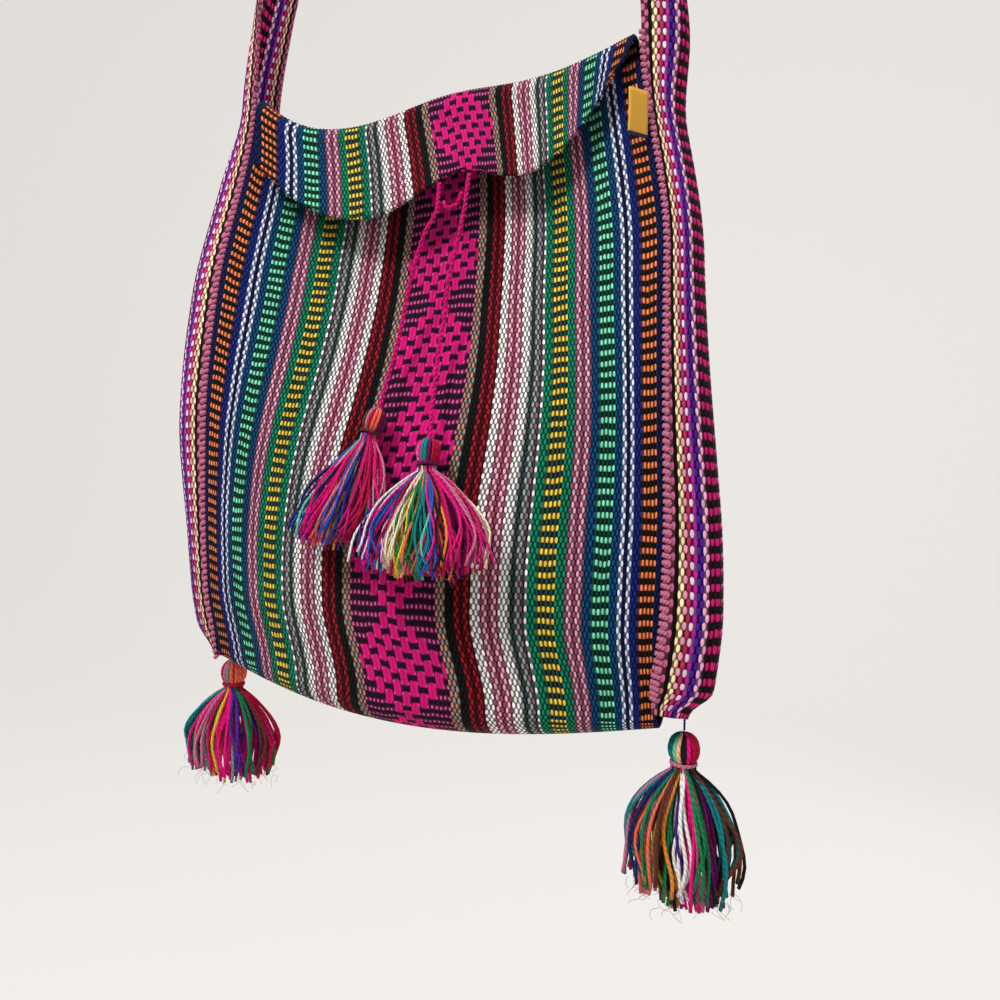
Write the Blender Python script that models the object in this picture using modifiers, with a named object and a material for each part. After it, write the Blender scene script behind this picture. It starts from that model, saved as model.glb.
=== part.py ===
# A hand-woven striped shoulder bag, hanging by its strap.
# Metres, +Z up, the front faces -Y. The origin is the inside of the strap's top bend, where it hangs.
import math

import bmesh
import bpy
from mathutils import Vector

for old in list(bpy.data.objects):
    bpy.data.objects.remove(old, do_unlink=True)
bag = bpy.data.collections.new("woven_shoulder_bag")
bpy.context.scene.collection.children.link(bag)

# Driving dimensions of the body
strap_drop = 0.560
mouth_width = 0.224
body_width = 0.250
bottom_width = 0.242
body_height = 0.333
hang_skew = 0.010
cloth_thickness = 0.0020
rib_height = 0.0004
panel_ribs = 20

# Depths of the body, measured forward from the plane of the strap
front_edge_top = 0.009
front_edge_full = 0.035
front_edge_bottom = 0.027
back_edge_top = 0.013
back_edge_low = -0.002
back_middle = 0.018
mouth_middle = -0.007
belly_middle = 0.045
bottom_sag = 0.018
corner_sag = 0.004
left_corner_lift = 0.011

# Mouth and flap
mouth_sag = 0.016
mouth_sag_tilt = 0.7
front_hem_drop = 0.016
fold_radius = 0.0115
fold_radius_at_corner = 0.0142
flap_length = 0.057
flap_forward = 0.012
flap_narrowing = 0.06
flap_shift = 0.016
flap_right_loss = 0.86
flap_left_loss = 0.50
flap_gather = 0.30
flap_gather_u = 0.12
flap_gather_spread = 0.25

# The band that is gusset and strap
band_thickness = 0.0026
band_ribs = 5
seam_gap = 0.0011
gusset_bulge = 0.0145
left_bulge_extra = 0.0075
gusset_end_bulge = 0.0030
gusset_tuck_start = 0.94
strap_width = 0.040
strap_curl = 0.004
strap_opening_height = 0.110
hook_radius = 0.012
strap_bow = 1.35

# Yarns and small pieces
clearance = 0.0004
flap_joint_gap = 0.0008
seam_yarn_radius = 0.0007
seam_levels = (0.11, 0.97)
seam_place_in_gap = 0.8
cord_radius = 0.0012
hanger_radius = 0.0006
pivot_gap = 0.0006
binding_radius = 0.0011
label_length = 0.022
label_reach = 0.010
label_top = 0.036
ribbon_thickness = 0.0005
label_columns = 4
label_rows = 12
label_direction = (-0.72, -0.69, 0.0)

# Tassels: a head is its radius and its height, spread and depth are half sizes of the foot
tie_head = (0.0068, 0.0125)
tie_spread = {-1: 0.022, 1: 0.030}
tie_depth = 0.0095
tie_strands = 14
corner_head = (0.0075, 0.0145)
corner_length = {-1: 0.0730, 1: 0.0830}
corner_spread = {-1: 0.0330, 1: 0.0280}
corner_depth = 0.0185
corner_strands = 15
neck_to_head = 0.62
strand_groove = 0.09
tassel_rings = 14
head_rings = 0.45
skirt_spread_start = -0.15
skirt_spread_curve = 0.8
skirt_side_rings = 1.12
groove_start = 1.2
groove_full = 2.4

# Where the corner tassels hang: share of the gusset, place across it and length of the thread
corner_hang_share = 0.975
corner_hang_w = {-1: 0.55, 1: 0.0}
hanger_length = {-1: 0.013, 1: 0.009}

# Tie cord. The places are chosen by hand, relative to the middle between the mouth's corners.
tie_hem_u = {-1: -0.068, 1: 0.095}
tie_routes = {
    -1: [(0.0062, -0.0195, -0.0830), (0.0016, -0.0220, -0.0935), (-0.0017, -0.0220, -0.1030),
         (-0.0064, -0.0225, -0.1200), (-0.0093, -0.0238, -0.1405), (-0.0125, -0.0275, -0.1620),
         (-0.0140, -0.0330, -0.1780), (-0.0145, -0.0365, -0.1875)],
    1: [(0.0218, -0.0195, -0.0840), (0.0187, -0.0220, -0.1050), (0.0150, -0.0225, -0.1240),
        (0.0142, -0.0235, -0.1400), (0.0130, -0.0260, -0.1550), (0.0135, -0.0325, -0.1790),
        (0.0150, -0.0385, -0.1960), (0.0165, -0.0420, -0.2035)],
}
tie_feet = {-1: (-0.0310, -0.0585, -0.2600), 1: (0.0220, -0.0660, -0.2720)}
link_dip = 0.0045
link_low_places = (0.33, 0.67)
cord_point_spacing = 4.8
link_point_spacing = 2.4

# Rows along the band and the seams
gusset_rows = 21
tuck_rows = 5
strap_rows = 24
bend_rows = 8
seam_rows = 26

side_names = {-1: "left", 1: "right"}


def ease(start, end, value):
    """Rise smoothly from 0 at start to 1 at end."""
    x = min(max((value - start) / (end - start), 0.0), 1.0)
    return x * x * (3.0 - 2.0 * x)


def mix(a, b, share):
    return a + (b - a) * share


# Shape of the body. level is 0 at the mouth's corners and 1 at the bottom, u runs from -1 left to 1 right.
def centre_x(level):
    return mix(-0.4, 0.6, level) * hang_skew


def half_width(level):
    widening = (body_width - mouth_width) / 2 * (1.0 - ease(0.0, 0.35, level))
    tapering = (body_width - bottom_width) / 2 * ease(0.7, 1.0, level)
    return body_width / 2 - widening - tapering


def front_edge_y(level):
    filled = mix(front_edge_top, front_edge_full, ease(0.0, 0.6, level))
    return -mix(filled, front_edge_bottom, ease(0.85, 1.0, level))


def back_edge_y(level):
    return mix(back_edge_top, back_edge_low, ease(0.1, 0.75, level))


def front_y(u, level):
    middle = -mix(mouth_middle, belly_middle, ease(0.15, 0.85, level))
    edge = front_edge_y(level)
    return mix(edge, middle, (1.0 - u * u) ** 1.25)


def back_y(u, level):
    edge = back_edge_y(level)
    return mix(edge, back_middle, (1.0 - u ** 4) ** 1.25)


def fold_at(u):
    return mix(fold_radius, fold_radius_at_corner, abs(u) ** 3)


def mouth_z(u):
    return -strap_drop - mouth_sag * (1.0 - u ** 4) * (1.0 - mouth_sag_tilt * u)


def bottom_z(u):
    return -strap_drop - body_height + left_corner_lift * ((1.0 - u) / 2) ** 4


def level_of(z):
    return -(z + strap_drop) / body_height


# The cloth, piece by piece, from the front's mouth hem down, under, up the back and over into the flap.
def front_point(u, share):
    z = mix(mouth_z(u) - front_hem_drop, bottom_z(u), share)
    level = level_of(z)
    return Vector((centre_x(level) + u * half_width(level), front_y(u, level), z))


def bottom_point(u, share):
    angle = math.pi * share
    front, back = front_y(u, 1.0), back_y(u, 1.0)
    sag = mix(bottom_sag, corner_sag, u * u)
    y = (front + back) / 2 + (front - back) / 2 * math.cos(angle)
    return Vector((centre_x(1.0) + u * half_width(1.0), y, bottom_z(u) - sag * math.sin(angle)))


def back_point(u, share):
    z = mix(bottom_z(u), mouth_z(u) - fold_at(u), share)
    level = level_of(z)
    return Vector((centre_x(level) + u * half_width(level), back_y(u, level), z))


def flap_x(u, share):
    reach = half_width(0.0) - 2 * seam_gap
    shift = flap_shift * (1.0 - u * u)
    return centre_x(0.0) + u * reach * (1.0 - flap_narrowing * share) + shift * share


def fold_point(u, share):
    base = back_point(u, 1.0)
    angle = math.pi * share
    y = base.y - fold_at(u) * (1.0 - math.cos(angle))
    z = base.z + fold_at(u) * math.sin(angle)
    return Vector((mix(base.x, flap_x(u, 0.3), share), y, z))


def flap_drop(u):
    """The flap's length at u: its corners are rounded in, and the tie gathers its middle up."""
    corner_loss = flap_right_loss if u > 0 else flap_left_loss
    gather = flap_gather * math.exp(-((u - flap_gather_u) / flap_gather_spread) ** 2)
    return flap_length * (1.0 - corner_loss * abs(u) ** 2.2) * (1.0 - gather)


def flap_point(u, share):
    base = fold_point(u, 1.0)
    drop = flap_drop(u)
    forward = flap_forward * drop / flap_length * share ** 1.4
    return Vector((flap_x(u, mix(0.3, 1.0, share)), base.y - forward, base.z - drop * share))


def fold_from_gap(u, share):
    """The fold without its first hair, so that the flap is a solid of its own."""
    return fold_point(u, mix(flap_joint_gap / (math.pi * fold_at(u)), 1.0, share))


# The cloth is one piece. It is two solids here, so that each gets collision of its own.
body_run = [(front_point, 18), (bottom_point, 9), (back_point, 11)]
flap_run = [(fold_from_gap, 7), (flap_point, 6)]


def run_point(run, u, row):
    for point, rows in run:
        if row <= rows:
            return point(u, row / rows)
        row -= rows
    raise ValueError("row past the hem")


def panel_point(u, row):
    return run_point(body_run, u, row)


def flap_cloth_point(u, row):
    return run_point(flap_run, u, row)


# The band. side is -1 left and 1 right, w runs from -1 at the front edge to 1 at the back edge.
def gusset_point(side, share, w):
    level = share * level_of(bottom_z(side))
    front, back = front_edge_y(level), back_edge_y(level)
    full_bulge = gusset_bulge + (left_bulge_extra * math.sin(math.pi * share) if side < 0 else 0.0)
    tuck = ease(gusset_tuck_start, 1.0, share)
    reach = mix(full_bulge, gusset_end_bulge, tuck) * math.cos(w * math.pi / 2) + band_thickness / 2 * tuck
    x = centre_x(level) + side * (half_width(level) + seam_gap + reach)
    y = (front + back) / 2 + (back - front) / 2 * math.sin(w * math.pi / 2)
    z = -strap_drop - body_height * level - corner_sag * (1.0 - w * w) * ease(0.85, 1.0, share)
    return Vector((x, y, z))


bend_radius = hook_radius + band_thickness / 2
strap_rise = strap_drop - hook_radius


def strap_start_x(side):
    return side * (half_width(0.0) + seam_gap) + centre_x(0.0)


def strap_lean(side):
    slope = (abs(strap_start_x(side)) - bend_radius) * strap_bow / strap_rise
    return math.atan(slope)


def strap_point(side, share, w):
    lean = strap_lean(side)
    end_x = side * bend_radius * math.cos(lean)
    rise = (strap_rise - bend_radius * math.sin(lean)) * share
    opened = ease(0.0, 1.0, rise / strap_opening_height)
    base = mix(end_x, strap_start_x(side), 1.0 - share ** strap_bow)
    chord = mix(back_edge_y(0.0) - front_edge_y(0.0), strap_width, opened)
    bulge = mix(gusset_bulge, strap_curl, opened) * (1.0 - ease(0.85, 1.0, share))
    centre_y = (back_edge_y(0.0) + front_edge_y(0.0)) / 2 * (1.0 - ease(0.0, 0.5, share))
    angle = w * math.pi / 2
    spread = mix(math.sin(angle), w, opened)
    x = base + side * bulge * math.cos(angle)
    return Vector((x, centre_y + chord / 2 * spread, -strap_drop + rise))


def bend_point(share, w):
    start = math.pi + strap_lean(-1)
    angle = mix(start, -strap_lean(1), share)
    z = -hook_radius + bend_radius * math.sin(angle)
    return Vector((bend_radius * math.cos(angle), strap_width / 2 * w, z))


def gusset_share(row):
    """Share of the gusset at this row from the mouth: the rows are closer where the end is tucked in."""
    long_rows = gusset_rows - tuck_rows
    if row <= long_rows:
        return gusset_tuck_start * row / long_rows
    return mix(gusset_tuck_start, 1.0, (row - long_rows) / tuck_rows)


def band_point(w, row):
    if row < gusset_rows:
        return gusset_point(-1, gusset_share(gusset_rows - row), w)
    row -= gusset_rows
    if row < strap_rows:
        return strap_point(-1, row / strap_rows, w)
    row -= strap_rows
    if row < bend_rows:
        return bend_point(row / bend_rows, w)
    row -= bend_rows
    if row <= strap_rows:
        return strap_point(1, 1.0 - row / strap_rows, w)
    return gusset_point(1, gusset_share(row - strap_rows), w)


# Building helpers
def make_material(name, colour, roughness):
    material = bpy.data.materials.new(name)
    material.use_nodes = True
    shader = material.node_tree.nodes["Principled BSDF"]
    shader.inputs["Base Color"].default_value = (*colour, 1.0)
    shader.inputs["Roughness"].default_value = roughness
    shader.inputs["Metallic"].default_value = 0.0
    return material


def add_object(name, data, material):
    piece = bpy.data.objects.new(name, data)
    data.materials.append(material)
    bag.objects.link(piece)
    return piece


def add_sheet(name, material, columns, rows, point, thickness, rib=0.0):
    """A grid bent to point(u, row), with every other column raised as a rib, then thickened."""
    sheet = bmesh.new()
    bmesh.ops.create_grid(sheet, x_segments=columns, y_segments=rows, size=0.5)
    raised = []
    for vert in sheet.verts:
        column = round((vert.co.x + 0.5) * columns)
        row = round((vert.co.y + 0.5) * rows)
        vert.co = point(2.0 * column / columns - 1.0, row)
        if column % 2:
            raised.append(vert)
    sheet.normal_update()
    for vert in raised:
        vert.co += vert.normal * rib
    mesh = bpy.data.meshes.new(name)
    sheet.to_mesh(mesh)
    sheet.free()
    piece = add_object(name, mesh, material)
    solid = piece.modifiers.new("thickness", "SOLIDIFY")
    solid.thickness = thickness
    solid.offset = 0.0
    return piece


def smooth_route(route, spacing):
    """Points at even spacing along a smooth curve through the route's own points."""
    ends = [route[0] * 2 - route[1], *route, route[-1] * 2 - route[-2]]
    points = []
    for before, start, end, after in zip(ends, ends[1:], ends[2:], ends[3:]):
        steps = max(1, round((end - start).length / spacing))
        for step in range(steps):
            t = step / steps
            bend = (before * -1 + start * 3 - end * 3 + after) * t ** 3
            pull = (before * 2 - start * 5 + end * 4 - after) * t ** 2
            points.append((start * 2 + (end - before) * t + pull + bend) / 2)
    points.append(route[-1])
    return points


def add_cord(name, material, points, radius):
    curve = bpy.data.curves.new(name, "CURVE")
    curve.dimensions = "3D"
    curve.bevel_depth = radius
    curve.bevel_resolution = 2
    curve.use_fill_caps = True
    spline = curve.splines.new("POLY")
    spline.points.add(len(points) - 1)
    for knot, point in zip(spline.points, points):
        knot.co = (*point, 1.0)
    return add_object(name, curve, material)


# Seams
def seam_points(side, edge):
    """The sewing yarn lies on the joint of panel and band, outside the cloth."""
    lift = cloth_thickness / 2 + rib_height + clearance + seam_yarn_radius
    points = []
    for row in range(seam_rows + 1):
        level = mix(*seam_levels, row / seam_rows)
        x = centre_x(level) + side * (half_width(level) + seam_gap * seam_place_in_gap)
        edge_y = front_edge_y(level) if edge < 0 else back_edge_y(level)
        points.append(Vector((x, edge_y + edge * lift, -strap_drop - body_height * level)))
    return points


def add_seams():
    for side, name in side_names.items():
        add_cord(f"front_seam_{name}", seam_yarn, seam_points(side, -1), seam_yarn_radius)
        add_cord(f"back_seam_{name}", seam_yarn, seam_points(side, 1), seam_yarn_radius)


# Label
def label_point(u, row):
    """One turn of ribbon: out from the seam, round the fold and back."""
    level = (label_top + label_length / 2) / body_height
    lift = cloth_thickness / 2 + rib_height + 2 * clearance + 2 * seam_yarn_radius
    root = Vector((centre_x(level) + half_width(level), front_edge_y(level) - lift - clearance, 0.0))
    outward = Vector(label_direction).normalized()
    across = Vector((outward.y, -outward.x, 0.0))
    gap = 2 * ribbon_thickness
    if row <= 4:
        place = outward * label_reach * row / 4 - across * gap / 2
    elif row < 8:
        angle = math.pi * (row - 4) / 4
        place = outward * (label_reach + gap / 2 * math.sin(angle)) - across * gap / 2 * math.cos(angle)
    else:
        place = outward * label_reach * (12 - row) / 4 + across * gap / 2
    z = -strap_drop - label_top - label_length / 2 + label_length / 2 * u
    return root + place + Vector((0.0, 0.0, z))


# Tassels
def shape_tassel(name, top, foot, head, spread, depth, strands):
    """A bundle of yarn: a round head, a tied neck and a skirt that spreads."""
    head_radius, head_height = head
    neck_radius = head_radius * neck_to_head
    bundle = bmesh.new()
    bmesh.ops.create_uvsphere(bundle, u_segments=strands * 2, v_segments=tassel_rings, radius=1.0)
    length = (foot - top).length
    neck_share = head_height / length
    for vert in bundle.verts:
        share = math.acos(min(max(vert.co.z, -1.0), 1.0)) / math.pi
        angle = math.atan2(vert.co.y, vert.co.x)
        flat = math.hypot(vert.co.x, vert.co.y) > 0.001
        along, wide, deep = tassel_section(share, neck_share, head_radius, neck_radius, spread, depth)
        strand = round(angle / math.pi * strands) % 2
        grooved = ease(neck_share * groove_start, neck_share * groove_full, along)
        groove = 1.0 - strand_groove * strand * grooved
        place = top.lerp(foot, along)
        if flat:
            place += Vector((math.cos(angle) * wide * groove, math.sin(angle) * deep * groove, 0.0))
        vert.co = place
    mesh = bpy.data.meshes.new(name)
    bundle.to_mesh(mesh)
    bundle.free()
    mesh.shade_smooth()
    mesh.set_sharp_from_angle(angle=math.radians(40))
    return add_object(name, mesh, tassel_yarn)


def tassel_section(share, neck_share, head_radius, neck_radius, spread, depth):
    """Place along the tassel and half sizes there, for a ring at this share of the rings."""
    if share < head_rings:
        turn = math.pi * share / head_rings
        along = neck_share * (1.0 - math.cos(turn)) / 2
        radius = max(head_radius * math.sin(turn), neck_radius * ease(0.5, 1.0, share / head_rings))
        return along, radius, radius
    skirt = (share - head_rings) / (1.0 - head_rings)
    along = mix(neck_share, 1.0, min(skirt * skirt_side_rings, 1.0))
    open_share = ease(skirt_spread_start, 1.0, skirt) ** skirt_spread_curve
    base = ease(skirt_spread_start, 1.0, 0.0) ** skirt_spread_curve
    grown = (open_share - base) / (1.0 - base)
    return along, mix(neck_radius, spread, grown), mix(neck_radius, depth, grown)


def add_binding(name, top, foot, head):
    """The yarn wound round the neck, as one ring of its outer shape."""
    head_radius, head_height = head
    neck_radius = head_radius * neck_to_head
    neck = top + (foot - top).normalized() * head_height
    lean = (foot - top).to_track_quat("-Z", "Y")
    bpy.ops.mesh.primitive_torus_add(
        location=neck, rotation=lean.to_euler(), major_segments=20, minor_segments=6,
        major_radius=neck_radius + clearance * 2 + binding_radius, minor_radius=binding_radius)
    ring = bpy.context.object
    ring.name = name
    ring.data.name = name
    ring.data.materials.append(binding_yarn)
    ring.data.shade_smooth()
    for collection in list(ring.users_collection):
        collection.objects.unlink(ring)
    bag.objects.link(ring)
    return ring


# Tie cord
def from_mouth(point):
    return Vector(point) - Vector((0.0, 0.0, strap_drop))


def cord_start(u):
    """Just under the flap's hem."""
    return flap_point(u, 1.0) + Vector((0.0, 0.0, -cloth_thickness / 2 - clearance))


def tie_points(side):
    route = [from_mouth(point) for point in tie_routes[side]]
    return smooth_route([cord_start(tie_hem_u[side]), *route], cord_point_spacing * cord_radius)


def add_tie_end(side):
    """One end of the cord with its tassel, which lies in the cord's last point."""
    name = side_names[side]
    points = tie_points(side)
    add_cord(f"tie_cord_{name}", magenta_cord, points, cord_radius)
    top = points[-1] + Vector((0.0, -0.3 * clearance, -1.5 * clearance))
    foot = from_mouth(tie_feet[side])
    shape_tassel(f"tie_tassel_{name}_yarn", top, foot, tie_head, tie_spread[side], tie_depth, tie_strands)
    add_binding(f"tie_tassel_{name}_binding", top, foot, tie_head)


def add_tie_link():
    """The short loop of cord between the two ends."""
    left, right = tie_points(-1)[2], tie_points(1)[2]
    reach = Vector((2 * cord_radius + clearance, 0.0, 0.0))
    dip = Vector((0.0, 0.0, -link_dip))
    low_points = [left.lerp(right, place) + dip for place in link_low_places]
    route = [left + reach, *low_points, right - reach]
    add_cord("tie_link", magenta_cord, smooth_route(route, link_point_spacing * cord_radius), cord_radius)


# Corner tassels, each hung by a short thread from the bottom corner of the bag
def corner_anchor(side):
    """The stitch at the end of the band that the thread hangs from."""
    w, step = corner_hang_w[side], 0.01
    along = gusset_point(side, corner_hang_share + step, w) - gusset_point(side, corner_hang_share - step, w)
    across = gusset_point(side, corner_hang_share, w + step) - gusset_point(side, corner_hang_share, w - step)
    outward = across.cross(along).normalized() * -side
    return gusset_point(side, corner_hang_share, w) + outward * (band_thickness / 2 + rib_height + pivot_gap)


def add_pivot(name, place, parent=None):
    """An empty on the axis that the pieces under it turn about."""
    pivot = bpy.data.objects.new(name, None)
    bag.objects.link(pivot)
    pivot.parent = parent
    pivot.location = place
    return pivot


def add_corner_tassel(side):
    name = side_names[side]
    lower = Vector((0.0, 0.0, -hanger_length[side]))
    thread_pivot = add_pivot(f"thread_pivot_{name}", corner_anchor(side))
    tassel_pivot = add_pivot(f"tassel_pivot_{name}", lower, thread_pivot)
    thread = add_cord(f"corner_tassel_{name}_hanger", navy_thread, [Vector(), lower], hanger_radius)
    thread.parent = thread_pivot
    top = Vector((0.0, 0.0, -pivot_gap))
    foot = top - Vector((0.0, 0.0, corner_length[side]))
    yarn = shape_tassel(f"corner_tassel_{name}_yarn", top, foot, corner_head,
                        corner_spread[side], corner_depth, corner_strands)
    yarn.parent = tassel_pivot
    binding = add_binding(f"corner_tassel_{name}_binding", top, foot, corner_head)
    binding.parent = tassel_pivot


striped_cloth = make_material("striped cotton cloth", (0.10, 0.03, 0.08), 0.9)
band_cloth = make_material("woven band", (0.42, 0.05, 0.20), 0.9)
seam_yarn = make_material("seam yarn", (0.03, 0.03, 0.08), 0.9)
magenta_cord = make_material("magenta plied cord", (0.47, 0.01, 0.12), 0.8)
tassel_yarn = make_material("mixed tassel yarn", (0.40, 0.03, 0.13), 0.9)
binding_yarn = make_material("pink binding yarn", (0.60, 0.06, 0.22), 0.9)
navy_thread = make_material("navy thread", (0.02, 0.02, 0.07), 0.9)
yellow_ribbon = make_material("yellow ribbon", (0.80, 0.53, 0.05), 0.7)



def add_panel():
    for name, run, point in (("woven_panel", body_run, panel_point), ("woven_flap", flap_run, flap_cloth_point)):
        rows = sum(count for _, count in run)
        add_sheet(name, striped_cloth, 2 * panel_ribs, rows, point, cloth_thickness, rib_height)


def add_band():
    rows = 2 * (gusset_rows + strap_rows) + bend_rows
    add_sheet("strap_band", band_cloth, 2 * band_ribs, rows, band_point, band_thickness, rib_height)


def add_label():
    add_sheet("side_label", yellow_ribbon, label_columns, label_rows, label_point, ribbon_thickness)


add_panel()
add_band()
add_label()
add_seams()
add_tie_link()
for each_side in side_names:
    add_tie_end(each_side)
    add_corner_tassel(each_side)
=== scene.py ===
import math
import random
from functools import partial

import bmesh
import bpy
from mathutils import Matrix, Vector


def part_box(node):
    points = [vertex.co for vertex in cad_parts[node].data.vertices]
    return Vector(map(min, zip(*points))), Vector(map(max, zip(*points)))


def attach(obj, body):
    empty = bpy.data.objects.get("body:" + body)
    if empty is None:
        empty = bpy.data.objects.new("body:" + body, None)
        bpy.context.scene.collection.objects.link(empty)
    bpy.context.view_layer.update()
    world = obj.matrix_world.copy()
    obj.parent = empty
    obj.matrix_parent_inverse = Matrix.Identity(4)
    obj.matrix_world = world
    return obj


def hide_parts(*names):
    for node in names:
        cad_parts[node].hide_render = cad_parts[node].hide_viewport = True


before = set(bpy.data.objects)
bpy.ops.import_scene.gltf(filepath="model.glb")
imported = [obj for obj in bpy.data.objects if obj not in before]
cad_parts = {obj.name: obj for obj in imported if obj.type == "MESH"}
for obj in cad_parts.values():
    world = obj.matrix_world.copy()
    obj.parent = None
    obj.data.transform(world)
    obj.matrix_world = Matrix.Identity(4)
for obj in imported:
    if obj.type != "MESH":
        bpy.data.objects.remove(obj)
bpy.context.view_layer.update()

# Metres, shares and powers. The bag hangs by its strap from the origin, the front faces -Y. Pairs are the
# levels between which a form changes.
body = {"strapDrop": 0.560, "mouthWidth": 0.224, "fullWidth": 0.250, "bottomWidth": 0.242, "height": 0.333,
        "skew": 0.010, "skewPivot": 0.4, "frontEdgeTop": 0.009, "frontEdgeFull": 0.035, "frontEdgeBottom": 0.027,
        "backEdgeTop": 0.013, "backEdgeLow": -0.002, "backMiddle": 0.018, "mouthMiddle": -0.007,
        "bellyMiddle": 0.045, "bottomSag": 0.018, "cornerSag": 0.004, "leftCornerLift": 0.011,
        "mouthSag": 0.016, "mouthSagTilt": 0.7, "mouthRise": 0.006, "riseAt": 0.03, "riseSpread": 0.35,
        "hemDrop": 0.016, "pillow": 1.25, "widening": (0.0, 0.35), "tapering": (0.7, 1.0),
        "frontFilling": (0.0, 0.6), "frontClosing": (0.85, 1.0), "backFilling": (0.1, 0.75),
        "bellyFilling": (0.15, 0.85)}
flap = {"fold": 0.0115, "cornerFold": 0.0142, "length": 0.057, "forward": 0.012, "forwardPower": 1.4,
        "narrowing": 0.06, "foldNarrowing": 0.3, "shift": 0.016, "rightLoss": 0.86, "leftLoss": 0.50,
        "roundness": 2.2, "gather": 0.30, "gatherAt": 0.03, "gatherSpread": 0.33}
band = {"thickness": 0.0026, "seamGap": 0.0011, "bulge": 0.0145, "leftBulge": 0.0075, "endBulge": 0.0030,
        "tuckStart": 0.94, "droopStart": 0.85, "flatFrom": 0.85, "width": 0.040, "curl": 0.004,
        "opening": 0.110, "hook": 0.012, "bow": 1.35}


def clamp(value, low=0.0, high=1.0):
    return min(max(value, low), high)


def ease(start, end, value):
    x = clamp((value - start) / (end - start))
    return x * x * (3.0 - 2.0 * x)


def mix(a, b, share):
    return a + (b - a) * share


# The bag's shape. level is 0 at the mouth's corners and 1 at the bottom, u runs from -1 left to 1 right.
def centreX(level):
    return (level - body["skewPivot"]) * body["skew"]


def halfWidth(level):
    widening = (body["fullWidth"] - body["mouthWidth"]) / 2 * (1.0 - ease(*body["widening"], level))
    tapering = (body["fullWidth"] - body["bottomWidth"]) / 2 * ease(*body["tapering"], level)
    return body["fullWidth"] / 2 - widening - tapering


def frontEdgeY(level):
    filled = mix(body["frontEdgeTop"], body["frontEdgeFull"], ease(*body["frontFilling"], level))
    return -mix(filled, body["frontEdgeBottom"], ease(*body["frontClosing"], level))


def backEdgeY(level):
    return mix(body["backEdgeTop"], body["backEdgeLow"], ease(*body["backFilling"], level))


def frontY(u, level):
    middle = -mix(body["mouthMiddle"], body["bellyMiddle"], ease(*body["bellyFilling"], level))
    return mix(frontEdgeY(level), middle, (1.0 - u * u) ** body["pillow"])


def backY(u, level):
    return mix(backEdgeY(level), body["backMiddle"], (1.0 - u ** 4) ** body["pillow"])


def foldAt(u):
    return mix(flap["fold"], flap["cornerFold"], abs(u) ** 3)


def mouthZ(u):
    raised = body["mouthRise"] * math.exp(-((u - body["riseAt"]) / body["riseSpread"]) ** 2)
    return -body["strapDrop"] - body["mouthSag"] * (1.0 - u ** 4) * (1.0 - body["mouthSagTilt"] * u) + raised


def bottomZ(u):
    return -body["strapDrop"] - body["height"] + body["leftCornerLift"] * ((1.0 - u) / 2) ** 4


def levelOf(z):
    return -(z + body["strapDrop"]) / body["height"]


def frontPoint(u, share):
    z = mix(mouthZ(u) - body["hemDrop"], bottomZ(u), share)
    level = levelOf(z)
    return Vector((centreX(level) + u * halfWidth(level), frontY(u, level), z))


def bottomPoint(u, share):
    front, back = frontY(u, 1.0), backY(u, 1.0)
    sag = mix(body["bottomSag"], body["cornerSag"], u * u)
    y = (front + back) / 2 + (front - back) / 2 * math.cos(math.pi * share)
    return Vector((centreX(1.0) + u * halfWidth(1.0), y, bottomZ(u) - sag * math.sin(math.pi * share)))


def backPoint(u, share):
    z = mix(bottomZ(u), mouthZ(u) - foldAt(u), share)
    level = levelOf(z)
    return Vector((centreX(level) + u * halfWidth(level), backY(u, level), z))


def flapX(u, share):
    reach = halfWidth(0.0) - 2 * band["seamGap"]
    return centreX(0.0) + u * reach * (1.0 - flap["narrowing"] * share) + flap["shift"] * (1.0 - u * u) * share


def foldPoint(u, share):
    base = backPoint(u, 1.0)
    y = base.y - foldAt(u) * (1.0 - math.cos(math.pi * share))
    z = base.z + foldAt(u) * math.sin(math.pi * share)
    return Vector((mix(base.x, flapX(u, flap["foldNarrowing"]), share), y, z))


def flapDrop(u):
    loss = flap["rightLoss"] if u > 0 else flap["leftLoss"]
    gather = flap["gather"] * math.exp(-((u - flap["gatherAt"]) / flap["gatherSpread"]) ** 2)
    return flap["length"] * (1.0 - loss * abs(u) ** flap["roundness"]) * (1.0 - gather)


def flapPoint(u, share):
    base = foldPoint(u, 1.0)
    drop = flapDrop(u)
    forward = flap["forward"] * drop / flap["length"] * share ** flap["forwardPower"]
    x = flapX(u, mix(flap["foldNarrowing"], 1.0, share))
    return Vector((x, base.y - forward, base.z - drop * share))


def gussetPoint(side, share, w):
    level = share * levelOf(bottomZ(side))
    front, back = frontEdgeY(level), backEdgeY(level)
    fullBulge = band["bulge"] + (band["leftBulge"] * math.sin(math.pi * share) if side < 0 else 0.0)
    tuck = ease(band["tuckStart"], 1.0, share)
    reach = mix(fullBulge, band["endBulge"], tuck) * math.cos(w * math.pi / 2) + band["thickness"] / 2 * tuck
    x = centreX(level) + side * (halfWidth(level) + band["seamGap"] + reach)
    y = (front + back) / 2 + (back - front) / 2 * math.sin(w * math.pi / 2)
    droop = body["cornerSag"] * (1.0 - w * w) * ease(band["droopStart"], 1.0, share)
    return Vector((x, y, -body["strapDrop"] - body["height"] * level - droop))


bendRadius = band["hook"] + band["thickness"] / 2
strapRise = body["strapDrop"] - band["hook"]


def strapStartX(side):
    return side * (halfWidth(0.0) + band["seamGap"]) + centreX(0.0)


def strapLean(side):
    return math.atan((abs(strapStartX(side)) - bendRadius) * band["bow"] / strapRise)


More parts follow.
